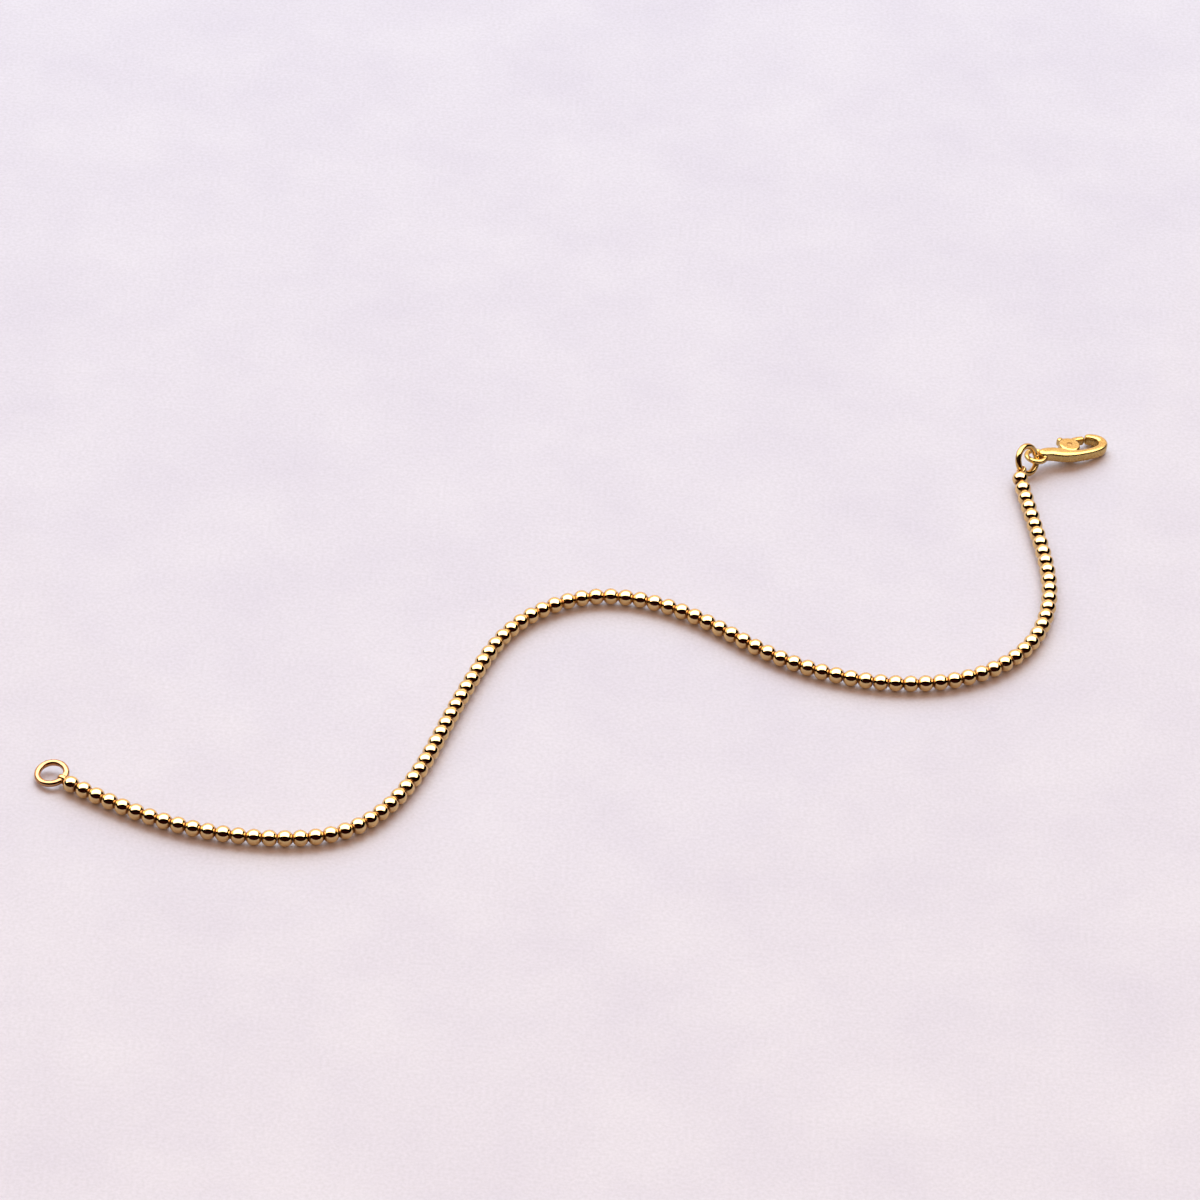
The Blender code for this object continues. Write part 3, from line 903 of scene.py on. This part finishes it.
@dataclass
class LobsterClasp:
    """The lobster clasp: cast body, sprung lever and rivet.

    Its shapes are made flat about its own tail eye, in millimetres, and then
    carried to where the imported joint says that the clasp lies.  The claw's
    sections say how far along and across they are and their half width, as
    shares of the clasp's length and width.  The lever's say how far they are
    from the rivet to the gate, and the rest as shares of the clasp's width.
    """

    length: float = 10.9
    width: float = 3.7
    thickness: float = 1.3
    pivot_along: float = 4.7
    pivot_across: float = 0.3
    boss_radius: float = 1.25
    boss_rise: float = 0.04
    boss_edge: float = 0.22
    tail_wire: float = 0.6
    tail_hole: float = 1.6
    rivet_diameter: float = 0.5
    rivet_clearance: float = 0.03
    rivet_recess: float = 0.05
    rivet_edge: float = 0.06
    lever_web: float = 0.5
    lever_thickness: float = 1.06
    lever_root: float = 0.8
    lever_root_edge: float = 0.08
    side_clearance: float = 0.08
    run_clearance: float = 0.1
    travel: float = 20.0
    thumb_reach: float = 0.55
    thumb_width: float = 0.8
    thumb_angle: float = 104.0
    gate_gap: float = 0.1
    slot_arm_room: float = 12.0
    slot_thumb_room: float = 32.0
    slot_overrun: float = 0.3
    cut_edge: float = 0.01
    arm_steps: int = 90
    thumb_steps: int = 24
    bar_sides: int = 32
    cap_steps: int = 10
    side_power: float = 0.72
    face_power: float = 0.5
    nose_power: float = 0.6
    disc_sides: int = 96
    rivet_sides: int = 48
    edge_steps: int = 6
    fan_steps: int = 48
    tail_steps: int = 96
    tail_sides: int = 32
    voxel: float = 0.045
    soften_share: float = 0.5
    soften_rounds: int = 6
    crease_angle: float = 38.0
    claw_sections: tuple[tuple[float, float, float], ...] = (
        (0.100, 0.000, 0.185),
        (0.180, -0.030, 0.210),
        (0.290, -0.180, 0.220),
        (0.400, -0.320, 0.160),
        (0.560, -0.375, 0.128),
        (0.690, -0.345, 0.135),
        (0.795, -0.205, 0.150),
        (0.832, 0.020, 0.150),
        (0.785, 0.245, 0.140),
        (0.720, 0.335, 0.110),
    )
    lever_sections: tuple[tuple[float, float, float], ...] = (
        (0.00, 0.000, 0.170),
        (0.25, 0.165, 0.145),
        (0.52, 0.290, 0.110),
        (0.80, 0.330, 0.100),
        (1.00, 0.335, 0.095),
    )

    def claw_rows(self) -> np.ndarray:
        """Give the claw's sections: along, across and half width."""
        return np.array(self.claw_sections) * [self.length, self.width, self.width]

    def lever_rows(self) -> np.ndarray:
        """Work out the lever arm's sections, from the rivet up to the claw's tip.

        Returns:
            Rows of along and across, from the pivot, and half width.
        """
        shares = np.array(self.lever_sections)
        tip = self.claw_rows()[-1]
        gate = tip[0] - tip[2] - self.gate_gap - shares[-1, 2] * self.width
        along = shares[:, 0] * (gate - self.pivot_along)
        across = shares[:, 1] * self.width - self.pivot_across * shares[:, 0]
        return np.stack([along, across, shares[:, 2] * self.width], axis=1)

    def bar(self, name: str, rows: np.ndarray, half: float, steps: int) -> bpy.types.Object:
        """Carry a rounded bar through sections.

        Across the bar the outline is the half width times the cosine and the
        half thickness times the sine of the turn, each raised to a power
        below one, which squares the oval.  Both shrink to nothing round the
        ends as a circle does, the thickness by a power below one too.

        Args:
            name: The piece's name.
            rows: Sections: along, across and half width.
            half: Half the bar's thickness.
            steps: Places along the bar.

        Returns:
            The bar, in millimetres.
        """
        curve = natural_spline(rows, steps)
        middle, width = curve[:, :2], curve[:, 2]
        along = unit(np.gradient(middle, axis=0))
        cap = np.linspace(0.0, math.pi / 2.0, self.cap_steps)
        nose = self.cap_steps - 1
        swell = np.concatenate([np.sin(cap)[:-1], np.ones(steps - 2), np.sin(cap)[::-1][1:]])
        reach = np.cos(cap)[:-1]
        first = middle[0] - reach[:, None] * width[0] * along[0]
        last = middle[-1] + reach[::-1][:, None] * width[-1] * along[-1]
        path = np.concatenate([first, middle[1:-1], last])
        way = np.concatenate([np.tile(along[0], (nose, 1)), along[1:-1], np.tile(along[-1], (nose, 1))])
        wide = np.concatenate([np.full(nose, width[0]), width[1:-1], np.full(nose, width[-1])]) * swell
        tall = half * swell**self.nose_power
        turn = full_turn(self.bar_sides)
        left = np.stack([-way[:, 1], way[:, 0]], axis=1)
        sideways = wide[:, None] * squared_off(np.cos(turn), self.side_power)
        flat = path[:, None, :] + sideways[:, :, None] * left[:, None, :]
        up = tall[:, None] * squared_off(np.sin(turn), self.face_power)
        points = np.concatenate([flat, up[:, :, None]], axis=2).reshape(-1, 3)
        quads = grid_faces(len(path), self.bar_sides, row_loop=False)
        caps = [cap_row[::-1] for cap_row in end_caps(len(path), self.bar_sides)]
        return new_object(name, mesh_from(name, points, quads[:, ::-1], caps))

    def disc(
        self, name: str, radius: float, half: float, edge: float, sides: int, level: float = 0.0
    ) -> bpy.types.Object:
        """Turn a flat disc with rounded edges about the pivot.

        The outline's edges are quarter circles, and it is turned once round.

        Args:
            name: The piece's name.
            radius: Its radius.
            half: Half its thickness.
            edge: The rounding of its edges.
            sides: Vertices round it.
            level: How high its middle is.

        Returns:
            The disc, in millimetres.
        """
        bend = np.linspace(0.0, math.pi / 2.0, self.edge_steps)
        lower = np.stack([radius - edge * (1.0 - np.sin(bend)), -half + edge * (1.0 - np.cos(bend))], axis=1)
        profile = np.concatenate([lower, lower[::-1] * [1.0, -1.0]])
        turn = full_turn(sides)
        points = np.stack(
            [
                self.pivot_along + profile[:, :1] * np.cos(turn),
                self.pivot_across + profile[:, :1] * np.sin(turn),
                np.repeat(profile[:, 1:] + level, sides, axis=1),
            ],
            axis=2,
        ).reshape(-1, 3)
        quads = grid_faces(len(profile), sides, row_loop=False)
        return new_object(name, mesh_from(name, points, quads, end_caps(len(profile), sides)))

    def fan(self, name: str, start: float, end: float, radius: float, half: float) -> bpy.types.Object:
        """Make a slice of a disc about the pivot, as a cutter.

        Args:
            name: The cutter's name.
            start: Degrees of its first side.
            end: Degrees of its last side.
            radius: Its reach.
            half: Half its thickness.

        Returns:
            The cutter, in millimetres.
        """
        turn = np.radians(np.linspace(start, end, self.fan_steps))
        arc = np.stack([np.cos(turn), np.sin(turn)], axis=1) * radius
        outline = np.concatenate([[[0.0, 0.0]], arc]) + [self.pivot_along, self.pivot_across]
        count = len(outline)
        faces = [np.column_stack([outline, np.full(count, level)]) for level in (-half, half)]
        quads = grid_faces(2, count, row_loop=False)
        return new_object(name, mesh_from(name, np.concatenate(faces), quads, end_caps(2, count)))

    def tail_eye(self) -> bpy.types.Object:
        """Make the tail eye, a round wire carried round a circle.

        Returns:
            The eye about its own centre, in millimetres.
        """
        turn = full_turn(self.tail_steps)[:, None]
        radius = (self.tail_hole + self.tail_wire) / 2.0
        zero = np.zeros_like(turn)
        path = np.concatenate([radius * np.cos(turn), radius * np.sin(turn), zero], axis=1)
        along = np.concatenate([-np.sin(turn), np.cos(turn), zero], axis=1)
        wire = np.full(self.tail_steps, self.tail_wire / 2.0)
        points = tube_points(path, along, UP, wire, self.tail_sides)
        quads = grid_faces(self.tail_steps, self.tail_sides, row_loop=True)
        return new_object("tail_eye_shape", mesh_from("tail_eye_shape", points, quads, []))

    def rivet_hole(self, name: str) -> bpy.types.Object:
        """Make the cutter of the hole that the rivet goes through."""
        radius = self.rivet_diameter / 2.0 + self.rivet_clearance
        return self.disc(name, radius, self.thickness, self.cut_edge, self.disc_sides)

    @staticmethod
    def combine(target: bpy.types.Object, tools: list[bpy.types.Object], operation: str) -> None:
        """Join shapes to a piece, or cut them away, when the piece is read.

        Args:
            target: The piece.
            tools: The shapes, in order.
            operation: UNION or DIFFERENCE.
        """
        for tool in tools:
            modifier = target.modifiers.new(tool.name, "BOOLEAN")
            modifier.operation = operation
            modifier.solver = "EXACT"
            modifier.object = tool

    def cast(self, target: bpy.types.Object) -> None:
        """Blend joined shapes into one casting: a fine skin, then smoothed.

        Args:
            target: The piece with its joined shapes.
        """
        skin = target.modifiers.new("skin", "REMESH")
        skin.mode = "VOXEL"
        skin.voxel_size = self.voxel
        skin.use_smooth_shade = True
        soften = target.modifiers.new("soften", "SMOOTH")
        soften.factor = self.soften_share
        soften.iterations = self.soften_rounds

    def seat(self) -> tuple[np.ndarray, np.ndarray]:
        """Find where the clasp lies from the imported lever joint.

        The joint's axis is the clasp's own downward direction.  The clasp's
        length runs along the axis's heading, square to it.

        Returns:
            The tail eye's centre, and the clasp's three directions as columns.
        """
        joint = frame["joints"][0]
        upward = -unit(np.array(joint["axis"]))
        heading = math.atan2(upward[1], upward[0])
        tip = math.hypot(upward[0], upward[1])
        along = np.array([upward[2] * math.cos(heading), upward[2] * math.sin(heading), -tip])
        turned = np.stack([along, np.cross(upward, along), upward], axis=1)
        pivot = np.array(joint["pos_m"]) / MM
        place = pivot - turned @ np.array([self.pivot_along, self.pivot_across, 0.0])
        return place, turned

    def settle(self, shape: bpy.types.Object, name: str, tools: list[bpy.types.Object]) -> bpy.types.Object:
        """Read a shape with its joins and cuts, and carry it to its place.

        Args:
            shape: The shape with live modifiers, in millimetres.
            name: The finished piece's name.
            tools: The shapes that it used, which go.

        Returns:
            The finished piece, in metres at its place.
        """
        graph = bpy.context.evaluated_depsgraph_get()
        mesh = bpy.data.meshes.new_from_object(shape.evaluated_get(graph))
        mesh.name = name
        points = np.empty(len(mesh.vertices) * 3, dtype=np.float32)
        mesh.vertices.foreach_get("co", points)
        place, turned = self.seat()
        points = (points.reshape(-1, 3) @ turned.T + place) * MM
        mesh.vertices.foreach_set("co", points.astype(np.float32).ravel())
        mesh.update()
        mesh.shade_smooth()
        mesh.set_sharp_from_angle(angle=math.radians(self.crease_angle))
        for thing in [shape, *tools]:
            bpy.data.objects.remove(thing, do_unlink=True)
        return new_object(name, mesh)

    def build_body(self) -> bpy.types.Object:
        """Cast the claw, boss and tail eye in one, and cut the slot and hole.

        Returns:
            The finished body.
        """
        half = self.thickness / 2.0
        body = self.bar("clasp_claw_shape", self.claw_rows(), half, self.arm_steps)
        boss = self.disc(
            "boss_shape", self.boss_radius, half + self.boss_rise, self.boss_edge, self.disc_sides
        )
        eye = self.tail_eye()
        self.combine(body, [boss, eye], "UNION")
        self.cast(body)
        slot_half = self.lever_web / 2.0 + self.side_clearance
        slot = self.fan(
            "slot_cut",
            -self.travel - self.slot_arm_room,
            self.thumb_angle + self.slot_thumb_room,
            self.boss_radius + self.slot_overrun,
            slot_half,
        )
        root_room = self.lever_root + self.run_clearance
        root = self.disc("slot_root_cut", root_room, slot_half, self.cut_edge, self.disc_sides)
        hole = self.rivet_hole("rivet_hole_cut")
        self.combine(body, [slot, root, hole], "DIFFERENCE")
        return self.settle(body, "clasp_body_cast", [boss, eye, slot, root, hole])

    def thumb_rows(self, run: float) -> np.ndarray:
        """Work out the thumb lug's sections, straight out from the pivot.

        Args:
            run: The radius at which the lug comes clear of the body.

        Returns:
            Rows of along, across and half width.
        """
        far = run + self.thumb_reach - self.thumb_width / 2.0
        turn = math.radians(self.thumb_angle)
        reach = np.array([0.0, far / 2.0, far])
        return np.stack(
            [
                self.pivot_along + reach * math.cos(turn),
                self.pivot_across + reach * math.sin(turn),
                np.full(len(reach), self.thumb_width / 2.0),
            ],
            axis=1,
        )

    def build_lever(self) -> bpy.types.Object:
        """Cast the lever's arm, root and thumb lug in one, and mill its web.

        Returns:
            The finished lever.
        """
        half = self.lever_thickness / 2.0
        rows = self.lever_rows()
        rows[:, :2] += (self.pivot_along, self.pivot_across)
        lever = self.bar("lever_shape", rows, half, self.arm_steps)
        root = self.disc("lever_root_shape", self.lever_root, half, self.lever_root_edge, self.disc_sides)
        run = self.boss_radius + self.run_clearance
        thumb = self.bar("thumb_shape", self.thumb_rows(run), half, self.thumb_steps)
        self.combine(lever, [root, thumb], "UNION")
        self.cast(lever)
        above = self.lever_web / 2.0 + half
        cutters = [
            self.disc(name, run, half, self.cut_edge, self.disc_sides, level)
            for name, level in (("web_cut_above", above), ("web_cut_below", -above))
        ]
        cutters.append(self.rivet_hole("lever_hole_cut"))
        self.combine(lever, cutters, "DIFFERENCE")
        return self.settle(lever, "clasp_lever_cast", [root, thumb, *cutters])

    def build_rivet(self) -> bpy.types.Object:
        """Turn the rivet with its two dressed heads.

        Returns:
            The finished rivet.
        """
        half = self.thickness / 2.0 + self.boss_rise - self.rivet_recess
        radius = self.rivet_diameter / 2.0
        rivet = self.disc("rivet_shape", radius, half, self.rivet_edge, self.rivet_sides)
        return self.settle(rivet, "clasp_rivet_turned", [])

    def build(self) -> None:
        """Build and dress the clasp's three pieces."""
        rows = (
            (self.build_body(), CLASP_FINISH, "clasp_body", "bracelet"),
            (self.build_lever(), LEVER_FINISH, "clasp_lever", "lever"),
            (self.build_rivet(), RIVET_FINISH, "clasp_rivet", "bracelet"),
        )
        for piece, finish, node, body in rows:
            stand_in(piece, finish, node, body)


@dataclass(frozen=True)
class SoftLight:
    """A rectangular soft light, its sizes and places in millimetres."""

    name: str
    place: tuple[float, float, float]
    aim: tuple[float, float, float]
    size: tuple[float, float]
    radiance: float
    colour: str
    in_gold: bool = True
    on_floor: bool = True

    def hang(self) -> None:
        """Hang the light.

        Its power is its brightness times pi times its area, so that a bigger
        light is as bright to look at as a smaller one.
        """
        width, height = self.size[0] * MM, self.size[1] * MM
        data = bpy.data.lights.new(self.name, "AREA")
        data.shape = "RECTANGLE"
        data.size, data.size_y = width, height
        data.energy = self.radiance * math.pi * width * height
        data.color = linear_colour(self.colour)[:3]
        light = bpy.data.objects.new(self.name, data)
        bpy.context.scene.collection.objects.link(light)
        back = unit(np.array(self.place) - np.array(self.aim))
        upright = [0.0, 1.0, 0.0] if abs(back[2]) > abs(back[1]) else [0.0, 0.0, 1.0]
        right = unit(np.cross(upright, back))
        turn_and_place(light, right, np.cross(back, right), back, np.array(self.place) * MM)
        light.visible_camera = False
        light.visible_glossy = self.in_gold
        light.visible_diffuse = self.on_floor


@dataclass
class Studio:
    """The pale floor, the soft lights and the photograph's camera.

    The camera's distance, and the sizes of the floor and its pattern, are in
    millimetres.  Its elevation and roll are in degrees, and shift is where the
    zero point of the route's coordinates, which it looks at, lies in the
    part's frame.
    """

    shift: np.ndarray
    elevation: float = 38.9
    distance: float = 792.0
    roll: float = 3.5
    lens: float = 210.0
    sensor: float = 36.0
    nearest_seen: float = 10.0
    farthest_seen: float = 100000.0
    floor_half: float = 3000.0
    floor_colour: str = "#DBD5E3"
    floor_deep: str = "#D3CCDD"
    floor_roughness: float = 0.45
    cloud_size: float = 16.0
    cloud_detail: float = 6.0
    cloud_roughness: float = 0.6
    cloud_low: float = 0.35
    cloud_high: float = 0.7
    grain_size: float = 0.4
    grain_detail: float = 2.0
    grain_low: float = 0.25
    grain_high: float = 0.75
    grain_change: float = 0.07
    view_transform: str = "Standard"
    room_colour: str = "#CBA482"
    room_strength: float = 1.0
    lights: tuple[SoftLight, ...] = (
        # A panel above and behind, which only the gold shows
        SoftLight(
            "overhead", (-400.0, 285.0, 900.0), (-400.0, 285.0, 0.0), (3000.0, 1230.0),
            radiance=5.0, colour="#FFFBF6", on_floor=False,
        ),
        # A pale wall behind, which only the gold shows
        SoftLight(
            "backdrop", (-450.0, 900.0, 700.0), (-450.0, 0.0, 700.0), (2700.0, 1400.0),
            radiance=1.4, colour="#FFE8D8", on_floor=False,
        ),
        # A faint red wall in front, which only the gold shows
        SoftLight(
            "front_wall", (0.0, -1500.0, 500.0), (0.0, 0.0, 300.0), (5000.0, 1500.0),
            radiance=0.02, colour="#FF6A60", on_floor=False,
        ),
        # A cool window, which lights the floor and not the gold
        SoftLight(
            "window", (-100.0, 850.0, 800.0), (0.0, 0.0, 0.0), (1800.0, 1100.0),
            radiance=3.04, colour="#C3ECFF", in_gold=False,
        ),
    )

    def build_camera(self) -> None:
        """Set the camera where the photograph was taken from."""
        lift, roll = math.radians(self.elevation), math.radians(self.roll)
        back = np.array([0.0, -math.cos(lift), math.sin(lift)])
        upward = np.array([0.0, math.sin(lift), math.cos(lift)])
        right = np.array([1.0, 0.0, 0.0])
        turned_right = math.cos(roll) * right + math.sin(roll) * upward
        turned_up = math.cos(roll) * upward - math.sin(roll) * right
        data = bpy.data.cameras.new("camera")
        data.lens = self.lens
        data.sensor_width = self.sensor
        data.clip_start = self.nearest_seen * MM
        data.clip_end = self.farthest_seen * MM
        camera = bpy.data.objects.new("camera", data)
        bpy.context.scene.collection.objects.link(camera)
        place = (self.shift + back * self.distance) * MM
        turn_and_place(camera, turned_right, turned_up, back, place)
        bpy.context.scene.camera = camera

    def floor_material(self) -> bpy.types.Material:
        """Build the floor's pale honed stone: matt, and faintly clouded.

        The clouds shift its colour slowly.  Real stone grains are finer, and
        are drawn at 0.4 mm, a few pixels of the photograph, so that they show.

        Returns:
            The new material.
        """
        material = bpy.data.materials.new("pale_stone")
        material.use_nodes = True
        tree = material.node_tree
        shader = tree.nodes["Principled BSDF"]
        shader.inputs["Roughness"].default_value = self.floor_roughness
        place = add_node(tree, "ShaderNodeTexCoord").outputs["Object"]
        scale = {"Scale": 1.0 / (self.cloud_size * MM), "Detail": self.cloud_detail}
        scale["Roughness"] = self.cloud_roughness
        clouds = add_node(tree, "ShaderNodeTexNoise", {"Vector": place, **scale}).outputs["Fac"]
        span = {"From Min": self.cloud_low, "From Max": self.cloud_high}
        shade = add_node(tree, "ShaderNodeMapRange", {"Value": clouds, **span}).outputs["Result"]
        pair = {COLOUR_A: linear_colour(self.floor_colour), COLOUR_B: linear_colour(self.floor_deep)}
        tint = add_node(tree, "ShaderNodeMix", {"Factor": shade, **pair}, data_type="RGBA")
        scale = {"Scale": 1.0 / (self.grain_size * MM), "Detail": self.grain_detail}
        grains = add_node(tree, "ShaderNodeTexNoise", {"Vector": place, **scale}).outputs["Fac"]
        span = {
            "From Min": self.grain_low,
            "From Max": self.grain_high,
            "To Min": 1.0 - self.grain_change,
            "To Max": 1.0 + self.grain_change,
        }
        light = add_node(tree, "ShaderNodeMapRange", {"Value": grains, **span}).outputs["Result"]
        pair = {"Factor": 1.0, COLOUR_A: tint.outputs[COLOUR_OUT], COLOUR_B: light}
        grained = add_node(tree, "ShaderNodeMix", pair, data_type="RGBA", blend_type="MULTIPLY")
        tree.links.new(grained.outputs[COLOUR_OUT], shader.inputs["Base Color"])
        return material

    def build_floor(self) -> None:
        """Lay the plain pale floor."""
        half = self.floor_half
        points = np.array([[-half, -half, 0.0], [half, -half, 0.0], [half, half, 0.0], [-half, half, 0.0]])
        floor = new_object("floor", mesh_from("floor", points * MM, np.array([[0, 1, 2, 3]]), []))
        floor.data.materials.append(self.floor_material())

    def build_lights(self) -> None:
        """Hang the lights, and fill the room with a warm light that no gold mirrors."""
        for light in self.lights:
            light.hang()
        world = bpy.data.worlds.new("room")
        world.use_nodes = True
        background = world.node_tree.nodes["Background"]
        background.inputs["Color"].default_value = linear_colour(self.room_colour)
        background.inputs["Strength"].default_value = self.room_strength
        bpy.context.scene.world = world
        world.cycles_visibility.glossy = False
        bpy.context.scene.view_settings.view_transform = self.view_transform

    def build(self) -> None:
        """Set the camera, floor and lights."""
        self.build_camera()
        self.build_floor()
        self.build_lights()


def main() -> None:
    """Build the bracelet's pieces in order, then the studio round them."""
    route = Route()
    BeadString(route).build()
    first_normal, first_eye = route.ring_seat(ChainEnd.FIRST)
    last_normal, last_eye = route.ring_seat(ChainEnd.LAST)
    WireRing("end_ring_wire", "end_ring", first_normal, first_eye, RING_FINISH, END_RING_JOINT).build()
    WireRing(
        "jump_ring_wire", "jump_ring", last_normal, last_eye, JUMP_FINISH, JUMP_RING_JOINT, mark_depth=0.0
    ).build()
    LobsterClasp().build()
    Studio(route.shift).build()


if __name__ == "__main__":
    main()
